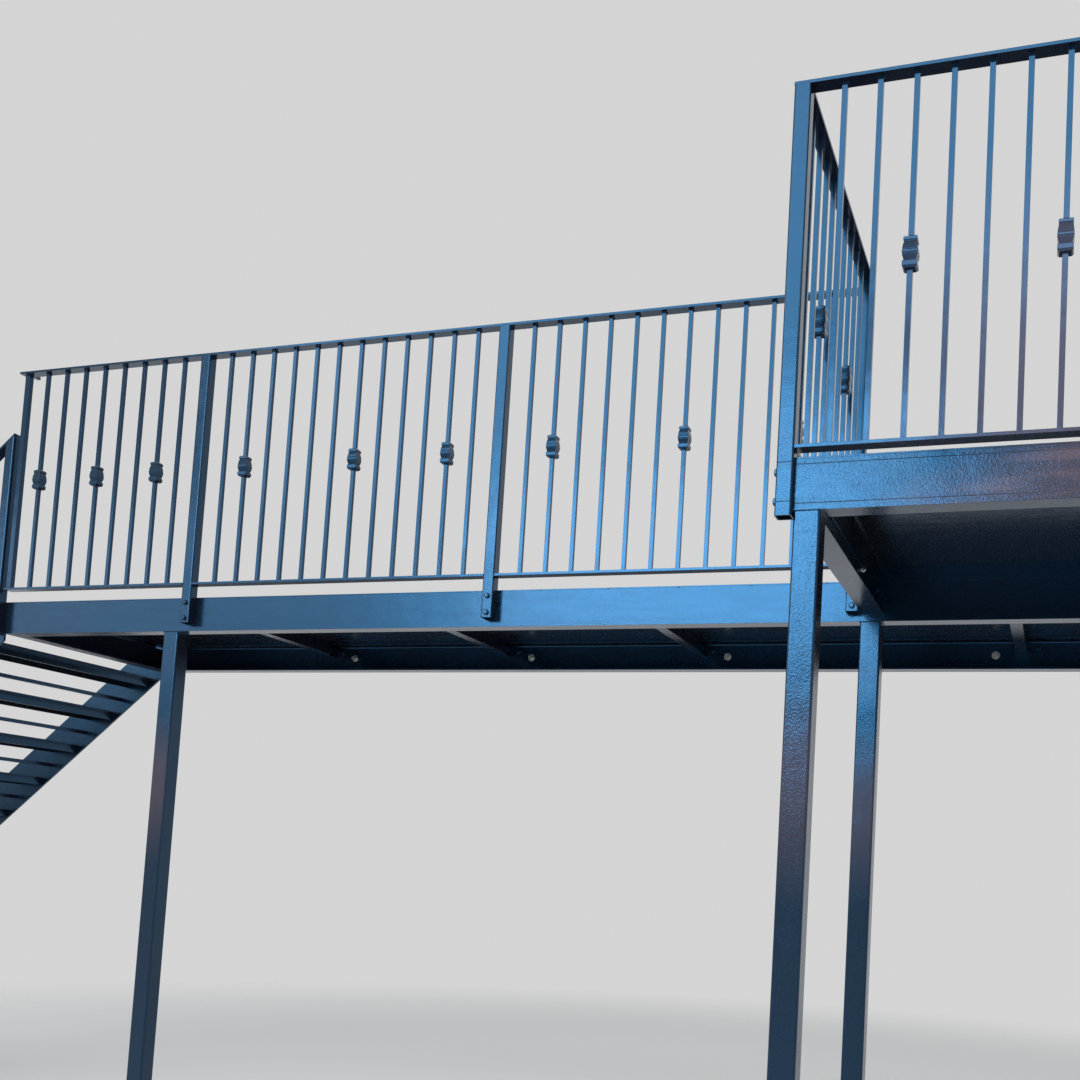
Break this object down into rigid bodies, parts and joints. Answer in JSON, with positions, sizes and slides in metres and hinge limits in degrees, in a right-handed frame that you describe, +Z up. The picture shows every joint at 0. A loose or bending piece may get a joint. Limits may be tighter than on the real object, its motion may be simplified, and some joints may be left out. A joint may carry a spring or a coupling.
{
  "type": "fire escape stair",
  "caption": "Black painted steel fire escape: a railed wall walkway with collared bars, a square landing on tube posts and a straight open-riser flight down to the ground",
  "frame": {"origin": "the wall beam's back face, halfway along the beam and halfway up its web", "axes": "+X along the wall towards the landing, +Y into the wall, +Z up"},
  "size_m": [9.482, 2.369, 3.91],
  "materials": {
    "frame_paint": "gloss black paint over steel, brushed on, with a slight orange peel",
    "rail_paint": "gloss black paint, a little thicker round the collars",
    "deck_paint": "black paint worn to a satin on the raised pattern"
  },
  "bodies": {
    "root": {"wall_beam": "frame_paint", "walkway_front_beam": "frame_paint", "walkway_left_beam": "frame_paint", "walkway_right_beam": "frame_paint", "walkway_joists": "frame_paint", "walkway_deck_left": "deck_paint", "walkway_deck_middle": "deck_paint", "walkway_deck_right": "deck_paint", "joist_cleats": "frame_paint", "landing_front_beam": "frame_paint", "landing_left_beam": "frame_paint", "landing_right_beam": "frame_paint", "landing_joist": "frame_paint", "landing_cleats": "frame_paint", "landing_step_plate": "frame_paint", "landing_deck": "deck_paint", "support_post_walkway": "frame_paint", "support_post_inner_left": "frame_paint", "support_post_inner_right": "frame_paint", "support_post_front_left": "frame_paint", "support_post_front_right": "frame_paint", "rail_post_left": "frame_paint", "rail_post_middle": "frame_paint", "rail_post_junction": "frame_paint", "rail_post_end": "frame_paint", "corner_post_left": "frame_paint", "corner_post_right": "frame_paint", "walkway_railing_left": "rail_paint", "walkway_railing_middle": "rail_paint", "walkway_railing_right": "rail_paint", "walkway_railing_end": "rail_paint", "landing_railing_left": "rail_paint", "landing_railing_front": "rail_paint", "landing_railing_right": "rail_paint", "stringer_front": "frame_paint", "stringer_wall": "frame_paint", "stair_treads": "deck_paint", "newel_top": "frame_paint", "newel_middle": "frame_paint", "newel_bottom": "frame_paint", "stair_railing_upper": "rail_paint", "stair_railing_lower": "rail_paint"}
  },
  "joints": []
}
